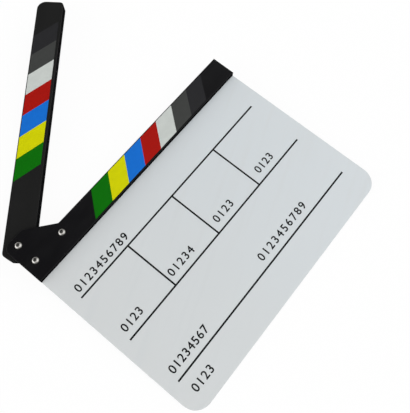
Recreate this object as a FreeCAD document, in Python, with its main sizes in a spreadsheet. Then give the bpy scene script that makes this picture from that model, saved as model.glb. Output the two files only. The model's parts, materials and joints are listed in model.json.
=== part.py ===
import FreeCAD, Part
import math
import os
import Sketcher

# A film clapperboard. A white slate board is clamped between the layers of a fixed stick, and a clap
# stick turns on a sleeve between the two ears of that stick. It lies on its back: X runs along the
# fixed stick from the hinge end, Y up the board towards the sticks, and Z out of the written face.
# The origin is the middle of the fixed stick's back face.

doc = FreeCAD.newDocument("clapperboard")
dim = doc.addObject("Spreadsheet::Sheet", "dim")

# Driving sizes, in millimetres and degrees. Everything else is worked out from these.
driving_sizes = {
    # Slate board and the five layers that make up the fixed stick.
    "board_width": 300.0,
    "slate_height": 195.0,
    "stick_width": 27.3,
    "board_thick": 3.0,
    "front_packer_thick": 3.0,
    "rear_packer_thick": 6.0,
    "cheek_thick": 3.0,
    "board_corner": 18.0,
    "edge_soft": 0.4,
    # Pivot place, and the ear around it, measured from the pivot.
    "pivot_inset": 12.0,
    "pivot_rise": 13.7,
    "ear_top": 8.9,
    "ear_flat": 13.4,
    "ear_foot": 41.1,
    "ear_corner": 8.0,
    "ear_shoulder": 10.0,
    "ear_root": 4.0,
    # Clap stick, measured from the pivot, and how far it stands open.
    "clap_overhang": 1.3,
    "clap_tail": 14.8,
    "clap_above": 16.0,
    "clap_corner": 10.0,
    "clap_nose": 4.5,
    "clap_gap": 0.2,
    "tail_cut_along": 5.3,
    "tail_cut_down": 8.6,
    "tail_cut_soft": 5.0,
    "tail_gap": 0.4,
    "open_angle": 37.9,
    # Screws, their sleeve nuts and the pivot washers.
    "thread_dia": 4.0,
    "thread_gap": 0.05,
    "head_dia": 7.3,
    "head_height": 2.2,
    "head_rim": 0.5,
    "hex_across": 2.5,
    "hex_floor": 0.9,
    "screw_spare": 1.0,
    "barrel_wall": 0.5,
    "barrel_gap": 0.05,
    "barrel_short": 1.0,
    "barrel_floor": 1.6,
    "flange_lip": 2.0,
    "flange_thick": 1.2,
    "flange_sink": 0.2,
    "slot_wide": 1.2,
    "slot_deep": 0.6,
    "fixing_wall": 1.9,
    "fixing_spacing": 36.4,
    "washer_dia": 14.0,
    "washer_thick": 0.5,
    "washer_gap": 0.05,
    # Vinyl stripes.
    "stripe_start": 89.4,
    "stripe_rest": 35.6,
    "stripe_top_margin": 1.0,
    "stripe_low_margin": 1.5,
    "clap_low_margin": 3.0,
    "stripe_lean": 51.0,
    "stripe_thick": 0.15,
}
for row, (alias, size) in enumerate(driving_sizes.items(), start=1):
    dim.set(f"A{row}", alias)
    dim.set(f"B{row}", str(size))
    dim.setAlias(f"B{row}", alias)
doc.recompute()

# Stripe colours in order from the hinge. The stick itself shows black before the first and after the last.
stripe_colours = ["green", "yellow", "blue", "red", "white", "grey", "dark_grey"]

# Lengths that several pieces share, as expressions on the sheet.
board_height = "(dim.slate_height + dim.stick_width)"
pivot_height = f"({board_height} + dim.pivot_rise)"
board_floor = "(dim.cheek_thick + dim.rear_packer_thick)"
board_front = f"({board_floor} + dim.board_thick)"
stack = f"({board_front} + dim.front_packer_thick + dim.cheek_thick)"
clap_reach = "(dim.board_width - dim.pivot_inset + dim.clap_overhang)"
clap_below = "(dim.pivot_rise - dim.clap_gap)"
clap_floor = "(dim.cheek_thick + dim.washer_thick + dim.washer_gap)"
clap_thick = f"({stack} - dim.cheek_thick - dim.washer_thick - dim.washer_gap - {clap_floor})"
cut_sweep = "sqrt(dim.clap_tail^2 + (dim.clap_above - dim.tail_cut_down)^2)"
clapping_sweep = (
    f"sqrt((dim.clap_tail - dim.clap_nose)^2 + ({clap_below} - dim.clap_nose)^2)"
    " + dim.clap_nose"
)
notch_radius = f"(max({cut_sweep}; {clapping_sweep}) + dim.tail_gap)"
barrel_radius = "(dim.thread_dia / 2 + dim.barrel_wall)"
bore_radius = f"({barrel_radius} + dim.barrel_gap)"
flange_radius = f"({barrel_radius} + dim.flange_lip)"
fixing_height = f"({pivot_height} - {notch_radius} - dim.fixing_wall - {bore_radius})"
stripe_pitch = f"((dim.board_width - dim.stripe_start - dim.stripe_rest) / {len(stripe_colours)})"

pivot_place = ("dim.pivot_inset", pivot_height)
fixing_places = [
    ("dim.pivot_inset", fixing_height),
    ("dim.pivot_inset + dim.fixing_spacing", fixing_height),
]

# How near two coordinates are when they count as the same.
same_place = 1e-6


def number(expression):
    """The value of an expression on the sheet."""
    return float(dim.evalExpression(expression))


def new_body(label):
    """An empty body whose origin is the board's lower left corner at the fixed stick's back face."""
    body = doc.addObject("PartDesign::Body", label)
    body.Label = label
    body.setExpression("Placement.Base.x", "-dim.board_width / 2")
    body.setExpression("Placement.Base.y", "-(dim.slate_height + dim.stick_width / 2)")
    return body


def new_clap_body(label):
    """An empty body whose origin is the pivot at the clap stick's back face, turned with the stick."""
    body = doc.addObject("PartDesign::Body", label)
    body.Label = label
    body.Placement.Rotation = FreeCAD.Rotation(FreeCAD.Vector(0, 0, 1), number("dim.open_angle"))
    body.setExpression("Placement.Base.x", "dim.pivot_inset - dim.board_width / 2")
    body.setExpression("Placement.Base.y", "dim.stick_width / 2 + dim.pivot_rise")
    body.setExpression("Placement.Base.z", clap_floor)
    body.setExpression("Placement.Rotation.Angle", "dim.open_angle")
    return body


def attach_sketch(body, role):
    """A sketch in one of the body's origin planes."""
    sketch = body.newObject("Sketcher::SketchObject", f"{body.Name}_sketch")
    plane = next(item for item in body.Origin.OriginFeatures if item.Role == role)
    sketch.AttachmentSupport = [(plane, "")]
    sketch.MapMode = "FlatFace"
    return sketch


def new_sketch(body, height="0"):
    """A sketch in the body's XY plane, lifted to a height."""
    sketch = attach_sketch(body, "XY_Plane")
    sketch.setExpression("AttachmentOffset.Base.z", height)
    return sketch


def new_section(body, place, height):
    """An upright sketch whose own origin is at a place, lifted to a height. Its normal is -Y."""
    x, y = place
    sketch = attach_sketch(body, "XZ_Plane")
    sketch.setExpression("AttachmentOffset.Base.x", x)
    sketch.setExpression("AttachmentOffset.Base.y", height)
    sketch.setExpression("AttachmentOffset.Base.z", f"-({y})")
    return sketch


def hold(sketch, geometry, point, direction, expression):
    """Fix one coordinate of a sketch point, measured from the sketch's origin."""
    size = number(expression)
    axis = {"DistanceX": -2, "DistanceY": -1}[direction]
    if abs(size) < same_place:
        sketch.addConstraint(Sketcher.Constraint("PointOnObject", geometry, point, axis))
    elif size > 0:
        index = sketch.addConstraint(Sketcher.Constraint(direction, -1, 1, geometry, point, size))
        sketch.setExpression(f"Constraints[{index}]", expression)
    else:
        index = sketch.addConstraint(Sketcher.Constraint(direction, geometry, point, -1, 1, -size))
        sketch.setExpression(f"Constraints[{index}]", f"-({expression})")


def draw_outline(sketch, corners):
    """A closed outline of straight lines through corners given as pairs of expressions."""
    first = sketch.GeometryCount
    places = [FreeCAD.Vector(number(x), number(y), 0) for x, y in corners]
    for start, end in zip(places, places[1:] + places[:1]):
        sketch.addGeometry(Part.LineSegment(start, end))
    for index, (x, y) in enumerate(corners):
        following = (index + 1) % len(corners)
        sketch.addConstraint(Sketcher.Constraint("Coincident", first + index, 2, first + following, 1))
        hold(sketch, first + index, 1, "DistanceX", x)
        hold(sketch, first + index, 1, "DistanceY", y)


def draw_circle(sketch, place, radius):
    """A circle at a place given as a pair of expressions."""
    x, y = place
    centre = FreeCAD.Vector(number(x), number(y), 0)
    circle = sketch.addGeometry(Part.Circle(centre, FreeCAD.Vector(0, 0, 1), number(radius)))
    hold(sketch, circle, 3, "DistanceX", x)
    hold(sketch, circle, 3, "DistanceY", y)
    index = sketch.addConstraint(Sketcher.Constraint("Radius", circle, number(radius)))
    sketch.setExpression(f"Constraints[{index}]", radius)


def draw_dome(sketch, radius, rim, height):
    """Half the section of a domed head, beside the sketch's upright axis: its base, its low rim and an
    arc up to its middle."""
    wide = number(radius)
    low = number(rim)
    high = number(height)
    ball = (wide**2 + (high - low) ** 2) / (2 * (high - low))
    circle = Part.Circle(FreeCAD.Vector(0, high - ball, 0), FreeCAD.Vector(0, 0, 1), ball)
    arc = Part.ArcOfCircle(circle, math.atan2(low - high + ball, wide), math.pi / 2)
    base = sketch.addGeometry(Part.LineSegment(FreeCAD.Vector(0, 0, 0), FreeCAD.Vector(wide, 0, 0)))
    side = sketch.addGeometry(Part.LineSegment(FreeCAD.Vector(wide, 0, 0), FreeCAD.Vector(wide, low, 0)))
    crown = sketch.addGeometry(arc)
    middle = sketch.addGeometry(Part.LineSegment(FreeCAD.Vector(0, high, 0), FreeCAD.Vector(0, 0, 0)))
    for line, following in ((base, side), (side, crown), (crown, middle), (middle, base)):
        sketch.addConstraint(Sketcher.Constraint("Coincident", line, 2, following, 1))
    for line, x, y in ((base, "0", "0"), (side, radius, "0"), (crown, radius, rim), (middle, "0", height)):
        hold(sketch, line, 1, "DistanceX", x)
        hold(sketch, line, 1, "DistanceY", y)
    sketch.addConstraint(Sketcher.Constraint("PointOnObject", crown, 3, -2))


def spin(body, section):
    """Turn a section once round its upright axis."""
    feature = body.newObject("PartDesign::Revolution", f"{body.Name}_revolution")
    feature.Profile = section
    feature.ReferenceAxis = (section, ["V_Axis"])
    doc.recompute()
    return feature


def pad(body, sketch, length):
    """Raise a sketch by a length along +Z."""
    feature = body.newObject("PartDesign::Pad", f"{body.Name}_pad")
    feature.Profile = sketch
    feature.setExpression("Length", length)
    doc.recompute()
    return feature


def pocket(body, sketch, depth):
    """Cut a sketch upwards, along +Z, and make sure that it took something away."""
    before = body.Shape.Volume
    feature = body.newObject("PartDesign::Pocket", f"{body.Name}_pocket")
    feature.Profile = sketch
    feature.Reversed = True
    feature.setExpression("Length", depth)
    doc.recompute()
    if body.Shape.Volume >= before:
        raise RuntimeError(f"{body.Label}: a pocket cut nothing")
    return feature


def round_edges(body, base, edges, radius):
    """Round the named edges of a feature."""
    feature = body.newObject("PartDesign::Fillet", f"{body.Name}_fillet")
    feature.Base = (base, edges)
    feature.setExpression("Radius", radius)
    doc.recompute()
    return feature


def upright_edges(feature, corners):
    """Names of the edges that stand along Z at the given corners."""
    wanted = [(number(x), number(y)) for x, y in corners]
    names = []
    for index, edge in enumerate(feature.Shape.Edges, start=1):
        box = edge.BoundBox
        if box.XLength > same_place or box.YLength > same_place:
            continue
        if any(abs(box.XMin - x) < same_place and abs(box.YMin - y) < same_place for x, y in wanted):
            names.append(f"Edge{index}")
    return names


def rim_edges(feature, height):
    """Names of the outer edges of the flat face at a height."""
    level = number(height)
    rim = []
    for face in feature.Shape.Faces:
        if abs(face.BoundBox.ZMin - level) < same_place and abs(face.BoundBox.ZMax - level) < same_place:
            rim.extend(face.OuterWire.Edges)
    edges = enumerate(feature.Shape.Edges, start=1)
    return [f"Edge{index}" for index, edge in edges if any(edge.isSame(other) for other in rim)]


def cut_round_holes(body, places, radius, height, depth):
    """Cut round holes upwards from a height."""
    sketch = new_sketch(body, height)
    for place in places:
        draw_circle(sketch, place, radius)
    return pocket(body, sketch, depth)


def group(label, members):
    """Several bodies kept together as one sub-part."""
    compound = doc.addObject("Part::Compound", label)
    compound.Label = label
    compound.Links = members
    doc.recompute()
    return compound


def make_slate_board():
    """White sheet with generous lower corners. Its top edge lies inside the fixed stick, and its hinge
    corner is notched so that the clap stick's tail can turn past it."""
    body = new_body("slate_board")
    body.setExpression("Placement.Base.z", board_floor)
    lower_corners = [("0", "0"), ("dim.board_width", "0")]
    sketch = new_sketch(body)
    draw_outline(sketch, lower_corners + [("dim.board_width", board_height), ("0", board_height)])
    sheet = pad(body, sketch, "dim.board_thick")
    sheet = round_edges(body, sheet, upright_edges(sheet, lower_corners), "dim.board_corner")
    rims = rim_edges(sheet, "0") + rim_edges(sheet, "dim.board_thick")
    round_edges(body, sheet, rims, "dim.edge_soft")
    cut_round_holes(body, [pivot_place], notch_radius, "0", "dim.board_thick")
    cut_round_holes(body, fixing_places, bore_radius, "0", "dim.board_thick")
    return body


def make_packer(label, floor, thick):
    """Bar that fills the fixed stick between a cheek and the board, with the same notch at the hinge."""
    body = new_body(label)
    body.setExpression("Placement.Base.z", floor)
    sketch = new_sketch(body)
    draw_outline(sketch, [
        ("0", "dim.slate_height"),
        ("dim.board_width", "dim.slate_height"),
        ("dim.board_width", board_height),
        ("0", board_height),
    ])
    pad(body, sketch, thick)
    cut_round_holes(body, [pivot_place], notch_radius, "0", thick)
    cut_round_holes(body, fixing_places, bore_radius, "0", thick)
    return body


def make_cheek(label, floor, outer_face):
    """Outer layer of the fixed stick with the ear that carries the pivot. The edges of its outer face
    are softened."""
    body = new_body(label)
    body.setExpression("Placement.Base.z", floor)
    ear_top = f"{pivot_height} + dim.ear_top"
    outer_corner = ("0", ear_top)
    shoulder = ("dim.pivot_inset + dim.ear_flat", ear_top)
    foot = ("dim.pivot_inset + dim.ear_foot", board_height)
    sketch = new_sketch(body)
    draw_outline(sketch, [
        ("0", "dim.slate_height"),
        ("dim.board_width", "dim.slate_height"),
        ("dim.board_width", board_height),
        foot,
        shoulder,
        outer_corner,
    ])
    plate = pad(body, sketch, "dim.cheek_thick")
    for corner, radius in (
        (outer_corner, "dim.ear_corner"),
        (shoulder, "dim.ear_shoulder"),
        (foot, "dim.ear_root"),
    ):
        plate = round_edges(body, plate, upright_edges(plate, [corner]), radius)
    round_edges(body, plate, rim_edges(plate, outer_face), "dim.edge_soft")
    cut_round_holes(body, [pivot_place] + fixing_places, bore_radius, "0", "dim.cheek_thick")
    return body


def make_rear_cheek():
    """Back layer: the same plate with sinkings for the flanges of the sleeve nuts, so that it lies flat."""
    body = make_cheek("rear_cheek", "0", "0")
    places = [pivot_place] + fixing_places
    sink_radius = f"{flange_radius} + dim.barrel_gap"
    cut_round_holes(body, places, sink_radius, "0", "dim.flange_sink + dim.flange_thick")
    return body


def make_clap_stick():
    """The moving bar, with the bore that turns on the pivot sleeve. Its free end is well rounded at the
    outer corner, its tail is cut off slanting there, and its clapping edge ends in small rounds."""
    body = new_clap_body("clap_stick")
    clapping_corners = [("-dim.clap_tail", f"-{clap_below}"), (clap_reach, f"-{clap_below}")]
    free_corner = (clap_reach, "dim.clap_above")
    cut_corners = [
        ("dim.tail_cut_along - dim.clap_tail", "dim.clap_above"),
        ("-dim.clap_tail", "dim.clap_above - dim.tail_cut_down"),
    ]
    sketch = new_sketch(body)
    draw_outline(sketch, clapping_corners + [free_corner] + cut_corners)
    bar = pad(body, sketch, clap_thick)
    for corners, radius in (
        ([free_corner], "dim.clap_corner"),
        (cut_corners, "dim.tail_cut_soft"),
        (clapping_corners, "dim.clap_nose"),
    ):
        bar = round_edges(body, bar, upright_edges(bar, corners), radius)
    rims = rim_edges(bar, "0") + rim_edges(bar, clap_thick)
    round_edges(body, bar, rims, "dim.edge_soft")
    cut_round_holes(body, [("0", "0")], bore_radius, "0", clap_thick)
    return body


def make_washer(label, floor):
    """Thin plastic ring on the pivot sleeve, against the inside of an ear."""
    body = new_body(label)
    body.setExpression("Placement.Base.z", floor)
    sketch = new_sketch(body)
    draw_circle(sketch, pivot_place, "dim.washer_dia / 2")
    draw_circle(sketch, pivot_place, bore_radius)
    pad(body, sketch, "dim.washer_thick")
    return body


def make_screw(label, place):
    """Button-head screw with a hexagon socket. Its head sits on the front cheek and its shank, drawn
    without the thread, ends inside the sleeve nut."""
    x, y = place
    body = new_body(label)
    shank_end = "(dim.flange_sink + dim.flange_thick + dim.barrel_floor + dim.screw_spare)"
    section = new_section(body, place, stack)
    draw_dome(section, "dim.head_dia / 2", "dim.head_rim", "dim.head_height")
    spin(body, section)
    sketch = new_sketch(body, shank_end)
    draw_circle(sketch, place, "dim.thread_dia / 2 - dim.thread_gap")
    pad(body, sketch, f"{stack} - {shank_end}")
    half = "dim.hex_across / 2"
    point = "dim.hex_across / sqrt(3)"
    sketch = new_sketch(body, f"{stack} + dim.hex_floor")
    draw_outline(sketch, [
        (f"{x} + {point}", y),
        (f"{x} + {point} / 2", f"{y} + {half}"),
        (f"{x} - {point} / 2", f"{y} + {half}"),
        (f"{x} - {point}", y),
        (f"{x} - {point} / 2", f"{y} - {half}"),
        (f"{x} + {point} / 2", f"{y} - {half}"),
    ])
    pocket(body, sketch, "dim.head_height - dim.hex_floor")
    return body


def make_barrel(label, place):
    """Sleeve nut: a flat flange, slotted for a screwdriver and sunk in the back, and a tube that takes
    the screw."""
    x, y = place
    body = new_body(label)
    flange_top = "(dim.flange_sink + dim.flange_thick)"
    tube_top = f"({stack} - dim.barrel_short)"
    sketch = new_sketch(body, "dim.flange_sink")
    draw_circle(sketch, place, flange_radius)
    pad(body, sketch, "dim.flange_thick")
    sketch = new_sketch(body, flange_top)
    draw_circle(sketch, place, barrel_radius)
    pad(body, sketch, f"{tube_top} - {flange_top}")
    bore_floor = f"({flange_top} + dim.barrel_floor)"
    cut_round_holes(body, [place], "dim.thread_dia / 2", bore_floor, f"{tube_top} - {bore_floor}")
    sketch = new_sketch(body, "dim.flange_sink")
    draw_outline(sketch, [
        (f"{x} - {flange_radius}", f"{y} - dim.slot_wide / 2"),
        (f"{x} + {flange_radius}", f"{y} - dim.slot_wide / 2"),
        (f"{x} + {flange_radius}", f"{y} + dim.slot_wide / 2"),
        (f"{x} - {flange_radius}", f"{y} + dim.slot_wide / 2"),
    ])
    pocket(body, sketch, "dim.slot_deep")
    return body


def make_stripe(body, order, start, low, high, lean):
    """Thin slanted stripe between two heights. Its ends lean by an offset at each edge, so that its
    place along the stick is right at mid-height."""
    near = f"({start} + {order} * {stripe_pitch})"
    far = f"({start} + {order + 1} * {stripe_pitch})"
    sketch = new_sketch(body)
    draw_outline(sketch, [
        (f"{near} - {lean}", low),
        (f"{far} - {lean}", low),
        (f"{far} + {lean}", high),
        (f"{near} + {lean}", high),
    ])
    pad(body, sketch, "dim.stripe_thick")
    return body


def make_fixed_stripe(order, colour):
    """Stripe on the fixed stick's front face."""
    body = new_body(f"fixed_stripe_{colour}")
    body.setExpression("Placement.Base.z", stack)
    low = "dim.slate_height + dim.stripe_low_margin"
    high = f"{board_height} - dim.stripe_top_margin"
    lean = f"(({high}) - ({low})) / 2 / tan(dim.stripe_lean * 1 deg)"
    return make_stripe(body, order, "dim.stripe_start", low, high, lean)


def make_clap_stripe(order, colour):
    """Stripe on the clap stick's front face, leaning the other way."""
    body = new_clap_body(f"clap_stripe_{colour}")
    body.setExpression("Placement.Base.z", f"{clap_floor} + {clap_thick}")
    low = f"(dim.clap_low_margin - {clap_below})"
    high = "(dim.clap_above - dim.stripe_top_margin)"
    lean = f"({low} - {high}) / 2 / tan(dim.stripe_lean * 1 deg)"
    return make_stripe(body, order, "(dim.stripe_start - dim.pivot_inset)", low, high, lean)


pieces = [
    make_slate_board(),
    make_packer("rear_packer", "dim.cheek_thick", "dim.rear_packer_thick"),
    make_packer("front_packer", board_front, "dim.front_packer_thick"),
    make_rear_cheek(),
    make_cheek("front_cheek", f"{stack} - dim.cheek_thick", "dim.cheek_thick"),
    make_clap_stick(),
    make_washer("rear_washer", "dim.cheek_thick"),
    make_washer("front_washer", f"{stack} - dim.cheek_thick - dim.washer_thick"),
    make_screw("pivot_screw", pivot_place),
    make_barrel("pivot_barrel", pivot_place),
]
sides = list(zip(("left", "right"), fixing_places))
pieces.append(group("fixing_screws", [make_screw(f"{side}_screw", place) for side, place in sides]))
pieces.append(group("fixing_barrels", [make_barrel(f"{side}_barrel", place) for side, place in sides]))
for order, colour in enumerate(stripe_colours):
    pieces.append(make_fixed_stripe(order, colour))
    pieces.append(make_clap_stripe(order, colour))
doc.recompute()

# Stop before writing anything if a feature failed or a piece is not a sound solid.
for item in doc.Objects:
    if "Invalid" in item.State or "Error" in item.State:
        raise RuntimeError(f"{item.Label}: {item.State}")
for piece in pieces:
    if piece.Shape.isNull() or not piece.Shape.isValid() or not piece.Shape.Solids:
        raise RuntimeError(f"{piece.Label}: the shape is not a sound solid")

os.makedirs("parts", exist_ok=True)
for piece in pieces:
    piece.Shape.exportStep(f"parts/{piece.Label}.step")
    box = piece.Shape.BoundBox
    print(f"{piece.Label}: {len(piece.Shape.Solids)} solids, {piece.Shape.Volume:.1f} mm3,"
          f" z {box.ZMin:.2f} to {box.ZMax:.2f}")
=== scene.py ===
import json
import math

import bmesh
import bpy
from mathutils import Matrix, Vector


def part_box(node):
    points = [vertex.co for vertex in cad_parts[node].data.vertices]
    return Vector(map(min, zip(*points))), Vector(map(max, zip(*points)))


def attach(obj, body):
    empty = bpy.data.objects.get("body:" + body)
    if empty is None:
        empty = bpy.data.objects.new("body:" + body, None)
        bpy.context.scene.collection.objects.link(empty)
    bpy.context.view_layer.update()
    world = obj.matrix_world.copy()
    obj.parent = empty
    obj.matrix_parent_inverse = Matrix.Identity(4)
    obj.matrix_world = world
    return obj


# Frame
# The clapperboard's solids at their real size, in metres, as it lies on its back with the written face up.
# Its bodies are the slate, which stays still, and the clapper, which turns on the hinge.
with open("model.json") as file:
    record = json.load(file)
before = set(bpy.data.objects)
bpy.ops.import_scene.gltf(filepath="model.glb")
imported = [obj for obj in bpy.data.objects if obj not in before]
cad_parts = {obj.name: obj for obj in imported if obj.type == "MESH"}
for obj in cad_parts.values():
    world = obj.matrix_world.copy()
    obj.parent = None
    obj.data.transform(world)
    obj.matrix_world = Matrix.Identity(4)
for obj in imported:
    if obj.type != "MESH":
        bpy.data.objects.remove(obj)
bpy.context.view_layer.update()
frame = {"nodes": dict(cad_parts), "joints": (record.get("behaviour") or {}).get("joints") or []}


# Slate board
# One sheet of white acrylic, 3 mm thick, sawn to size and rounded at its lower corners. Its face is satin, so
# that dry-wipe pen comes off, and its tone runs from a little warmer at the hinge end to a little cooler at
# the far end. Its upper edge is clamped between the layers of the fixed stick.
mm = 0.001
hinge_white = (0.642, 0.660, 0.660, 1)
far_white = (0.628, 0.668, 0.690, 1)
wiped_white = (0.612, 0.640, 0.650, 1)
sawn_white = (0.520, 0.545, 0.560, 1)
sawn_band = (0.2, 0.6)
saw_line = (0.5 * mm, 0.5 * mm, 30 * mm)
saw_depth = 0.04 * mm
satin_grain = (1.5 * mm, 1.5 * mm, 1.5 * mm)
satin_share = 0.04
wipe_stroke = (110 * mm, 9 * mm, 9 * mm)
wipe_slant = 0.35
smear_band = (0.52, 0.75)
smear_share = 0.5
mottle_size = (90 * mm, 90 * mm, 90 * mm)
mottle_reach = 120 * mm
board_rough = 0.30
wiped_rough = 0.10
sawn_rough = 0.25


class Signal:
    """An output socket of a node tree. Arithmetic on values adds Math nodes, and add() any other node."""

    def __init__(self, socket):
        self.socket = socket

    def add(self, kind, settings, inputs, output=0):
        """Adds a node of that kind: its settings first, then the values or links of its sockets."""
        tree = self.socket.id_data
        node = tree.nodes.new(kind)
        for name, value in settings.items():
            setattr(node, name, value)
        for name, value in inputs.items():
            if isinstance(value, Signal):
                tree.links.new(value.socket, node.inputs[name])
            else:
                node.inputs[name].default_value = value
        return Signal(node.outputs[output])

    def math(self, operation, first, second=0.0):
        """Adds a Math node on one or two values."""
        return self.add("ShaderNodeMath", {"operation": operation}, {0: first, 1: second})

    def __add__(self, other):
        return self.math("ADD", self, other)

    def __radd__(self, other):
        return self.math("ADD", other, self)

    def __sub__(self, other):
        return self.math("SUBTRACT", self, other)

    def __rsub__(self, other):
        return self.math("SUBTRACT", other, self)

    def __mul__(self, other):
        return self.math("MULTIPLY", self, other)

    def __rmul__(self, other):
        return self.math("MULTIPLY", other, self)

    def __abs__(self):
        return self.math("ABSOLUTE", self)


def new_finish(name):
    """A new material of that name, its shader, and its Object coordinates as a Signal."""
    material = bpy.data.materials.new(name)
    material.use_nodes = True
    nodes = material.node_tree.nodes
    return material, nodes["Principled BSDF"], Signal(nodes.new("ShaderNodeTexCoord").outputs["Object"])


def feed(shader, **signals):
    """Links each signal to the shader's socket of that name, written with _ for a space."""
    for name, signal in signals.items():
        shader.id_data.links.new(signal.socket, shader.inputs[name.replace("_", " ")])


def cloud(place, cell, turn=0.0):
    """Smooth noise around one half, in cells of that size in metres along each axis, turned about Z."""
    cells = {"Vector": place, "Rotation": (0, 0, turn), "Scale": cell}
    mapped = place.add("ShaderNodeMapping", {"vector_type": "TEXTURE"}, cells)
    return place.add("ShaderNodeTexNoise", {}, {"Vector": mapped, "Scale": 1.0, "Detail": 2.0})


def spread(value, low, high, start=0.0, end=1.0):
    """Spreads the values from low to high evenly over start to end, and holds those outside."""
    return value.add("ShaderNodeMapRange", {}, {0: value, 1: low, 2: high, 3: start, 4: end})


def blend(mask, first, second):
    """The first colour where the mask is 0 and the second where it is 1."""
    return mask.add("ShaderNodeMix", {"data_type": "RGBA"}, {0: mask, 6: first, 7: second}, 2)


def relief(height, depth):
    """A normal for a surface whose height, from 0 to 1, stands for that depth in metres."""
    return height.add("ShaderNodeBump", {}, {"Strength": 1.0, "Distance": depth, "Height": height})


def upright(place):
    """How far a surface faces up or down: 1 on a flat face, 0 on a cut edge."""
    normal = place.add("ShaderNodeNewGeometry", {}, {}, "Normal")
    return abs(place.add("ShaderNodeSeparateXYZ", {}, {0: normal}, "Z"))


def coat(node, material):
    """Gives a CAD node its finish."""
    frame["nodes"][node].material_slots[0].material = material


board_low, board_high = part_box("slate_board")
white_acrylic, shader, place = new_finish("white_acrylic")
sawn = 1 - spread(upright(place), *sawn_band)
saw_lines = cloud(place, saw_line)
wiped = cloud(place, wipe_stroke, wipe_slant)
mottled = mottle_reach * cloud(place, mottle_size)
along_board = place.add("ShaderNodeSeparateXYZ", {}, {0: place}, "X")
tone = blend(spread(along_board + mottled, board_low.x, board_high.x), hinge_white, far_white)
smeared = blend(smear_share * spread(wiped, *smear_band), tone, wiped_white)
feed(
    shader,
    Base_Color=blend(sawn, smeared, blend(saw_lines, sawn_white, wiped_white)),
    Roughness=board_rough + wiped_rough * wiped + sawn_rough * sawn,
    Normal=relief(saw_lines * sawn + satin_share * cloud(place, satin_grain), saw_depth),
)
coat("slate_board", white_acrylic)


# Printed rules
# Three long rules and three short ones that part the written face into fields. They are screen printed in
# black ink, which stands a few hundredths of a millimetre on the sheet.
ink_black = (0.003, 0.003, 0.004, 1)
thin_ink_black = (0.012, 0.012, 0.013, 1)
thin_ink_band = (0.45, 0.8)
squeegee_streak = (0.8 * mm, 6 * mm, 6 * mm)
ink_gloss = 0.2
ink_rough = 0.42
squeegee_rough = 0.2
ink_grain = (0.3 * mm, 0.3 * mm, 0.3 * mm)
ink_grain_depth = 0.01 * mm
ink_height = 0.04 * mm
rule_width = 1.85 * mm
rule_corner = 0.2 * mm
rule_corner_steps = 3
rule_left = 14.2 * mm
rule_right = 281.8 * mm
rule_heights = (155.5 * mm, 93.4 * mm, 34.6 * mm)
divider_places = (79.9 * mm, 147.6 * mm, 215.3 * mm)
scene = bpy.context.scene

black_ink, shader, place = new_finish("black_ink")
squeegee = cloud(place, squeegee_streak)
shader.inputs["Specular IOR Level"].default_value = ink_gloss
feed(
    shader,
    Base_Color=blend(spread(squeegee, *thin_ink_band), ink_black, thin_ink_black),
    Roughness=ink_rough + squeegee_rough * squeegee,
    Normal=relief(cloud(place, ink_grain), ink_grain_depth),
)


def on_board(along, up):
    """A point on the written face, from the board's lower left corner."""
    return Vector((board_low.x + along, board_low.y + up, board_high.z))


def add_rule(print_mesh, start, end):
    """Adds one printed rule between two points on the face, with half its thickness sunk in the sheet."""
    reach = Vector((rule_width / 2, rule_width / 2, 0))
    # A short rule, which runs up the board, stops at the edges of the long ones.
    if start.x == end.x:
        reach.y = -rule_width / 2
    size = end - start + 2 * reach
    size.z = 2 * ink_height
    made = bmesh.ops.create_cube(print_mesh, size=1.0)["verts"]
    bmesh.ops.scale(print_mesh, verts=made, vec=size)
    bmesh.ops.translate(print_mesh, verts=made, vec=(start + end) / 2)
    edges = {edge for corner in made for edge in corner.link_edges}
    standing = [edge for edge in edges if edge.verts[0].co.xy == edge.verts[1].co.xy]
    bmesh.ops.bevel(
        print_mesh, geom=standing, offset=rule_corner, affect="EDGES", segments=rule_corner_steps,
        profile=0.5, material=-1,
    )


def new_piece(name, mesh, material, body):
    """An object for a finished mesh, with its material, that rides on a CAD body."""
    mesh.materials.append(material)
    piece = bpy.data.objects.new(name, mesh)
    scene.collection.objects.link(piece)
    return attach(piece, body)


def to_mesh(shape, name):
    """Turns the faces of a bmesh outwards and makes it a mesh of that name."""
    bmesh.ops.recalc_face_normals(shape, faces=shape.faces)
    mesh = bpy.data.meshes.new(name)
    shape.to_mesh(mesh)
    shape.free()
    return mesh


rules = bmesh.new()
for height in rule_heights:
    add_rule(rules, on_board(rule_left, height), on_board(rule_right, height))
for along in divider_places:
    add_rule(rules, on_board(along, rule_heights[1]), on_board(along, rule_heights[0]))
new_piece("printed_rules", to_mesh(rules, "printed_rules"), black_ink, "slate")


# Printed numbers
# A row of plain digits names each field, in the same ink and print as the rules. Each row has its count of
# digits, its left and right ends and its baseline on the board.
digit_height = 8.2 * mm
# A digit's height in the font, as a share of the text's size.
digit_share = 0.69
digit_bold = 0.19 * mm
bold_passes = 3
curve_steps = 8
finest_edge = 0.08 * mm
finest_area = 1e-6 * mm**2
number_rows = {
    "numbers_top": (10, 15.5 * mm, 87.5 * mm, 160.5 * mm),
    "numbers_first_field": (4, 15.8 * mm, 41.5 * mm, 101 * mm),
    "numbers_second_field": (5, 84.2 * mm, 119 * mm, 101 * mm),
    "numbers_third_field": (4, 155.2 * mm, 182 * mm, 101 * mm),
    "numbers_fourth_field": (4, 225.2 * mm, 250.3 * mm, 101 * mm),
    "numbers_low_left": (8, 15.5 * mm, 68.2 * mm, 41.8 * mm),
    "numbers_low_right": (10, 152.6 * mm, 228 * mm, 41.8 * mm),
    "numbers_bottom": (4, 16.6 * mm, 43 * mm, 15.1 * mm),
}

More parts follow.
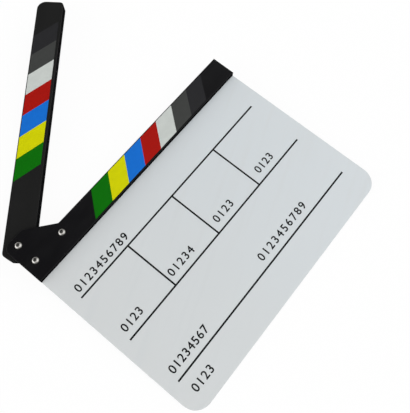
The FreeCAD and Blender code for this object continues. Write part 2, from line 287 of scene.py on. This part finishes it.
for name, (count, left, right, baseline) in number_rows.items():
    text = bpy.data.curves.new(name, "FONT")
    text.body = "0123456789"[:count]
    text.size = digit_height / digit_share
    text.resolution_u = curve_steps
    line = bpy.data.objects.new(name + "_text", text)
    scene.collection.objects.link(line)
    # The row's width at two spacings gives the spacing at which it fills its place.
    widths = []
    for spacing in (1.0, 2.0):
        text.space_character = spacing
        bpy.context.view_layer.update()
        widths.append(line.dimensions.x)
    text.space_character = 1 + (right - left - 2 * digit_bold - widths[0]) / (widths[1] - widths[0])
    bpy.context.view_layer.update()
    drawn = line.evaluated_get(bpy.context.evaluated_depsgraph_get())
    digits = bmesh.new()
    digits.from_mesh(drawn.to_mesh())
    bpy.data.objects.remove(line)
    # Each pass moves the outlines out a little and drops the strip between the old and the new one.
    for _ in range(bold_passes):
        bmesh.ops.remove_doubles(digits, verts=digits.verts, dist=finest_edge)
        strip = bmesh.ops.inset_region(
            digits, faces=digits.faces, thickness=-digit_bold / bold_passes,
            use_boundary=True, use_even_offset=True,
        )["faces"]
        bmesh.ops.delete(digits, geom=strip, context="FACES")
    bmesh.ops.dissolve_degenerate(digits, edges=digits.edges, dist=finest_edge)
    # A face of no area, which the font's own fill leaves in some digits, joins its neighbour.
    for flat in [face for face in digits.faces if face.calc_area() < finest_area]:
        longest = max(flat.edges, key=bmesh.types.BMEdge.calc_length)
        bmesh.ops.dissolve_edges(digits, edges=[longest])
    printed = bmesh.ops.extrude_face_region(digits, geom=digits.faces)["geom"]
    raised = [corner for corner in printed if isinstance(corner, bmesh.types.BMVert)]
    bmesh.ops.translate(digits, verts=raised, vec=(0, 0, 2 * ink_height))
    first_edge = min(corner.co.x for corner in digits.verts)
    start = on_board(left - first_edge, baseline) - Vector((0, 0, ink_height))
    bmesh.ops.translate(digits, verts=digits.verts, vec=start)
    new_piece(name, to_mesh(digits, name), black_ink, "slate")


# Fixed stick
# Four layers of black acrylic, two packers and two cheeks, glued and screwed on both sides of the board's
# upper edge. The faces are satin from the sheet's matt side. The edges are dull from the router, and their
# corners are painted a little paler, partly as rubbed wear and partly as a painted highlight.
cheek_black = (0.0036, 0.0035, 0.0043, 1)
cheek_gloss = 0.16
routed_black = (0.0030, 0.0030, 0.0032, 1)
# A paler black for hairlines, haze, cutter marks and the rounded corners, where it is partly a painted
# highlight.
rubbed_black = (0.016, 0.016, 0.017, 1)
dust_grey = (0.030, 0.030, 0.031, 1)
sheet_rough = 0.34
sheet_relief = 0.05 * mm
# How far the surface faces up where a routed edge gives way to its rounded corner, and that to the face.
routed_band = (0.05, 0.25)
corner_band = (0.25, 0.6)
face_band = (0.75, 0.98)
scuff_size = (6 * mm, 2 * mm, 2 * mm)
scuff_band = (0.42, 0.62)
scuff_and_highlight_share = 0.6
hairline_size = (60 * mm, 0.45 * mm, 3 * mm)
hairline_band = (0.62, 0.72)
hairline_share = 0.25
hairline_rough = 0.10
hairline_height = 0.15
dust_size = (0.9 * mm, 0.9 * mm, 0.9 * mm)
dust_band = (0.68, 0.74)
dust_share = 0.35
dust_height = 0.05
haze_size = (35 * mm, 14 * mm, 14 * mm)
haze_band = (0.35, 0.75)
haze_share = 0.10
haze_rough = 0.10
cutter_mark = (0.4 * mm, 0.4 * mm, 20 * mm)
cutter_band = (0.35, 0.75)
cutter_share = 0.6
cutter_depth = 0.025 * mm
routed_gloss = 0.0
routed_rough = 0.9


def show(material, first, second, mask):
    """Makes a material of two shaders: the first where the mask is 0 and the second where it is 1."""
    mixed = mask.add("ShaderNodeMixShader", {}, {0: mask, 1: first, 2: second})
    material.node_tree.links.new(mixed.socket, material.node_tree.nodes["Material Output"].inputs["Surface"])


def black_sheet(name, colour, gloss, turn):
    """Satin black acrylic with dull edges, and hairlines along a stick that is turned by that angle."""
    material, shader, place = new_finish(name)
    facing = upright(place)
    routed = 1 - spread(facing, *routed_band)
    rounded = spread(facing, *corner_band) * (1 - spread(facing, *face_band))
    scuffs_and_highlight = spread(cloud(place, scuff_size, turn), *scuff_band)
    hairlines = spread(cloud(place, hairline_size, turn), *hairline_band)
    dust = spread(cloud(place, dust_size), *dust_band)
    haze = spread(cloud(place, haze_size, turn), *haze_band)
    cutter = cloud(place, cutter_mark)
    marked = blend(hairline_share * hairlines + haze_share * haze, colour, rubbed_black)
    dusted = blend(dust_share * dust, marked, dust_grey)
    shader.inputs["Specular IOR Level"].default_value = gloss
    # The rounded corners are painted paler in patches, partly as rubbed wear and partly as a painted
    # highlight.
    feed(
        shader,
        Base_Color=blend(scuff_and_highlight_share * rounded * scuffs_and_highlight, dusted, rubbed_black),
        Roughness=sheet_rough + haze_rough * haze + hairline_rough * hairlines,
        Normal=relief(hairline_height * hairlines + dust_height * dust, sheet_relief),
    )
    edge = place.add("ShaderNodeBsdfPrincipled", {}, {
        "Base Color": blend(cutter_share * spread(cutter, *cutter_band), routed_black, rubbed_black),
        "Specular IOR Level": routed_gloss,
        "Roughness": routed_rough,
        "Normal": relief(cutter, cutter_depth),
    })
    show(material, Signal(shader.outputs["BSDF"]), edge, routed)
    return material


cheek_acrylic = black_sheet("cheek_acrylic", cheek_black, cheek_gloss, 0.0)
for layer in ("front_cheek", "front_packer", "rear_packer", "rear_cheek"):
    coat(layer, cheek_acrylic)


# Clap stick
# One bar of black acrylic that swings between the two ears on the pivot's sleeve. It has a little less gloss
# than the fixed stick, and its black is painted a shade paler as painted light.
lit_clap_black = (0.0125, 0.0125, 0.0123, 1)
clap_gloss = 0.1
# The sticks are closed at the joint's lower limit, so that limit is how far they stand open at rest.
open_angle = math.radians(-frame["joints"][0]["range_deg"][0])
coat("clap_stick", black_sheet("clap_acrylic", lit_clap_black, clap_gloss, open_angle))


# Stripes
# Slanted strips of self-adhesive vinyl on the front of both sticks, cut as one set of seven colours, so that
# they meet as chevrons when the sticks close. The film has a fine calendered grain and a soft gloss.
vinyl_colours = {
    "green": (0.003, 0.143, 0.002, 1),
    "yellow": (0.615, 0.615, 0.0005, 1),
    "blue": (0.008, 0.150, 0.605, 1),
    "red": (0.365, 0.007, 0.004, 1),
    "white": (0.560, 0.592, 0.566, 1),
    "grey": (0.050, 0.052, 0.050, 1),
    "dark_grey": (0.0215, 0.0215, 0.0235, 1),
}
vinyl_fade = 0.94
vinyl_gloss = 0.1
vinyl_rough = 0.36
rubbed_rough = 0.12
rubbed_size = (9 * mm, 5 * mm, 5 * mm)
rubbed_band = (0.3, 0.7)
calender_grain = (0.35 * mm, 0.35 * mm, 0.35 * mm)
calender_depth = 0.012 * mm


def vinyl(name, colour):
    """Satin vinyl film of that colour, a little uneven in shade."""
    material, shader, place = new_finish(name)
    deeper = tuple(vinyl_fade * part for part in colour[:3]) + (1,)
    rubbed = cloud(place, rubbed_size)
    shader.inputs["Specular IOR Level"].default_value = vinyl_gloss
    feed(
        shader,
        Base_Color=blend(spread(rubbed, *rubbed_band), colour, deeper),
        Roughness=vinyl_rough + rubbed_rough * rubbed,
        Normal=relief(cloud(place, calender_grain), calender_depth),
    )
    return material


for shade, colour in vinyl_colours.items():
    film = vinyl("vinyl_" + shade, colour)
    coat("fixed_stripe_" + shade, film)
    coat("clap_stripe_" + shade, film)


# Screws and sleeve nuts
# Button-head screws with a hexagon socket, screwed from the front into slotted sleeve nuts from the back. All
# are turned from steel and bright plated. The pivot is the upper one, and the other two clamp the layers.
plated_steel = (0.42, 0.41, 0.39, 1)
worn_steel = (0.27, 0.26, 0.25, 1)
# Painted shade in the socket: its walls are painted near black and its floor a darker grey.
socket_floor = (0.14, 0.14, 0.13, 1)
shaded_socket_wall = (0.005, 0.005, 0.005, 1)
# Dark steel for painted shade on the screw heads, round the socket and at the rim.
shaded_steel = (0.04, 0.04, 0.037, 1)
steel_rough = 0.18
turning_pitch = 0.12 * mm
turning_depth = 0.004 * mm
tarnish_size = (0.9 * mm, 0.9 * mm, 0.9 * mm)
tarnish_band = (0.4, 0.7)
tarnish_share = 0.7
tarnish_rough = 0.10
socket_radius = 1.35 * mm
socket_lip = 0.12 * mm
socket_rough = 0.30
# Painted shade darkens each head round its socket and towards its rim, where it meets the black stick.
socket_shade_radius = 2.2 * mm
socket_shade_share = 0.85
rim_shade_width = 0.9 * mm
rim_shade_share = 0.95

pivot_low, pivot_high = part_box("pivot_screw")
fixing_low, fixing_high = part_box("fixing_screws")
head_top = pivot_high.z
head_radius = (pivot_high.y - pivot_low.y) / 2
fixing_y = fixing_low.y + head_radius
screw_axes = (
    (pivot_low.x + head_radius, pivot_low.y + head_radius, 0),
    (fixing_low.x + head_radius, fixing_y, 0),
    (fixing_high.x - head_radius, fixing_y, 0),
)

bright_steel, shader, place = new_finish("bright_steel")
flat_place = place.add("ShaderNodeVectorMath", {"operation": "MULTIPLY"}, {0: place, 1: (1, 1, 0)})
distances = [
    place.add("ShaderNodeVectorMath", {"operation": "DISTANCE"}, {0: flat_place, 1: axis}, "Value")
    for axis in screw_axes
]
radius = place.math("MINIMUM", place.math("MINIMUM", distances[0], distances[1]), distances[2])
height = place.add("ShaderNodeSeparateXYZ", {}, {0: place}, "Z")
turned = 0.5 + 0.5 * place.math("SINE", radius * (2 * math.pi / turning_pitch))
tarnish = spread(cloud(place, tarnish_size), *tarnish_band)
within = 1 - spread(radius, socket_radius, socket_radius + socket_lip)
below = 1 - spread(height, head_top - 2 * socket_lip, head_top - socket_lip)
in_socket = within * below
on_head = spread(height, head_top - head_radius, head_top - head_radius / 2)
# Painted shade: darker round the socket and towards the rim of each head.
socket_shade = spread(radius, socket_radius, socket_shade_radius, socket_shade_share, 0.0)
rim_shade = spread(radius, head_radius - rim_shade_width, head_radius, 0.0, rim_shade_share)
head_shade = on_head * (socket_shade + rim_shade)
outside = blend(head_shade, blend(tarnish_share * tarnish, plated_steel, worn_steel), shaded_steel)
# Painted shade: the socket's walls near black, its floor a darker grey.
socket = blend(upright(place), shaded_socket_wall, socket_floor)
shader.inputs["Metallic"].default_value = 1.0
feed(
    shader,
    Base_Color=blend(in_socket, outside, socket),
    Roughness=steel_rough + tarnish_rough * tarnish + socket_rough * in_socket,
    Normal=relief(turned, turning_depth),
)
for fastener in ("pivot_screw", "fixing_screws", "pivot_barrel", "fixing_barrels"):
    coat(fastener, bright_steel)


# Hinge washers
# Two thin washers of natural nylon, stamped from sheet. They sit on the pivot's sleeve, one on each side of
# the clap stick, and keep it clear of the ears.
nylon_pale = (0.72, 0.70, 0.64, 1)
nylon_dull = (0.60, 0.58, 0.52, 1)
nylon_rough = 0.45
stamped_grain = (1.2 * mm, 1.2 * mm, 1.2 * mm)
stamped_band = (0.3, 0.7)
stamped_rough = 0.15
stamped_depth = 0.01 * mm

nylon, shader, place = new_finish("nylon")
stamped = cloud(place, stamped_grain)
feed(
    shader,
    Base_Color=blend(spread(stamped, *stamped_band), nylon_pale, nylon_dull),
    Roughness=nylon_rough + stamped_rough * stamped,
    Normal=relief(stamped, stamped_depth),
)
for washer in ("front_washer", "rear_washer"):
    coat(washer, nylon)


# Floor
# A round pale sheet under the slate, swept up all round at its rim. It is tilted a little, because the slate
# rests on the back of its fixed stick and on the lower edge of its thinner board.
floor_radius = 1.5
sweep_radius = 0.9
sweep_angle = math.radians(60)
sweep_steps = 16
floor_steps = 64
floor_white = (0.95, 0.95, 0.95, 1)
floor_rough = 0.9
floor_gloss = 0.0
glow_white = (1, 1, 1, 1)
glow_share = 0.94

stick_low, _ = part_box("rear_cheek")
floor_tilt = math.atan2(stick_low.z - board_low.z, stick_low.y - board_low.y)
sheet = bmesh.new()
middle = sheet.verts.new((0, 0, 0))
rim = sheet.verts.new((floor_radius, 0, 0))
sheet.edges.new((middle, rim))
bmesh.ops.spin(
    sheet, geom=[rim], cent=(floor_radius, 0, sweep_radius), axis=(0, -1, 0), angle=sweep_angle,
    steps=sweep_steps,
)
bmesh.ops.spin(
    sheet, geom=sheet.verts[:] + sheet.edges[:], cent=(0, 0, 0), axis=(0, 0, 1), angle=2 * math.pi,
    steps=floor_steps, use_merge=True,
)
bmesh.ops.remove_doubles(sheet, verts=sheet.verts, dist=mm)
bmesh.ops.rotate(sheet, verts=sheet.verts, matrix=Matrix.Rotation(floor_tilt, 3, "X"))
bmesh.ops.translate(sheet, verts=sheet.verts, vec=(0, stick_low.y, stick_low.z))
for side in sheet.faces:
    side.smooth = True
floor_mesh = to_mesh(sheet, "floor")
floor = bpy.data.objects.new("floor", floor_mesh)
scene.collection.objects.link(floor)

paper, shader, place = new_finish("paper")
shader.inputs["Base Color"].default_value = floor_white
shader.inputs["Roughness"].default_value = floor_rough
shader.inputs["Specular IOR Level"].default_value = floor_gloss
rays = ("Is Camera Ray", "Is Glossy Ray", "Is Transmission Ray")
seen = [place.add("ShaderNodeLightPath", {}, {}, ray) for ray in rays]
shown = glow_share * place.math("MAXIMUM", place.math("MAXIMUM", seen[0], seen[1]), seen[2])
glow = place.add("ShaderNodeEmission", {}, {"Color": glow_white, "Strength": 1.0})
show(paper, Signal(shader.outputs["BSDF"]), glow, shown)
floor_mesh.materials.append(paper)


# Light
# A white tent round the table. Its left and right walls are bright, the left one more, and the gaps between
# them are dim. So is the side that the flat faces mirror towards the camera, so that they show little gloss.
tent_white = (1, 1, 1, 1)
wall_light = 2.65
left_share = 0.35
left_wall = Vector((-0.80, 0.60, 0))
gap_light = 0.15 * wall_light
gap_centre = Vector((0.60, 0.80, 0))
gap_reach = math.radians(37)
gap_edge = math.radians(70)
dim_share = 0.05
dim_centre = Vector((-0.10, 0.45, 0.89)).normalized()
dim_reach = math.radians(25)
dim_edge = math.radians(55)

tent = bpy.data.worlds.new("tent")
tent.use_nodes = True
scene.world = tent
background = tent.node_tree.nodes["Background"]
direction = Signal(tent.node_tree.nodes.new("ShaderNodeTexCoord").outputs["Generated"])


def towards(axis):
    """How far the light comes from an axis: 1 along it, 0 square to it and -1 from the other end."""
    settings = {"operation": "DOT_PRODUCT"}
    return direction.add("ShaderNodeVectorMath", settings, {0: direction, 1: axis}, "Value")


gaps = abs(towards(gap_centre))
walls = spread(gaps, math.cos(gap_edge), math.cos(gap_reach), wall_light, gap_light)
opening = spread(towards(dim_centre), math.cos(dim_edge), math.cos(dim_reach), 1.0, dim_share)
feed(background, Strength=walls * opening * (1 + left_share * towards(left_wall)))
background.inputs["Color"].default_value = tent_white


# Camera
# It stands over the board's lower corner at the hinge end and looks down, a little towards the far end of the
# sticks. It is rolled, so that the board lies slanting in the picture.
picture_high = 413
focal_pixels = 515.65
sensor_width = 36.0
near_clip = 0.01
camera_place = Vector((-0.12649, -0.17504, 0.51319))
camera_look = Vector((0.2601, 0.1680, -0.9509)).normalized()
camera_up = Vector((0.7331, 0.6065, 0.3077)).normalized()

lens = bpy.data.cameras.new("camera")
lens.sensor_width = sensor_width
lens.lens = sensor_width * focal_pixels / picture_high
lens.clip_start = near_clip
camera = bpy.data.objects.new("camera", lens)
camera_right = camera_look.cross(camera_up).normalized()
camera_turn = Matrix((camera_right, camera_right.cross(camera_look), -camera_look)).transposed()
camera.matrix_world = Matrix.Translation(camera_place) @ camera_turn.to_4x4()
scene.collection.objects.link(camera)
scene.camera = camera


# View
# Colours are shown as they are written.
scene.view_settings.view_transform = "Standard"
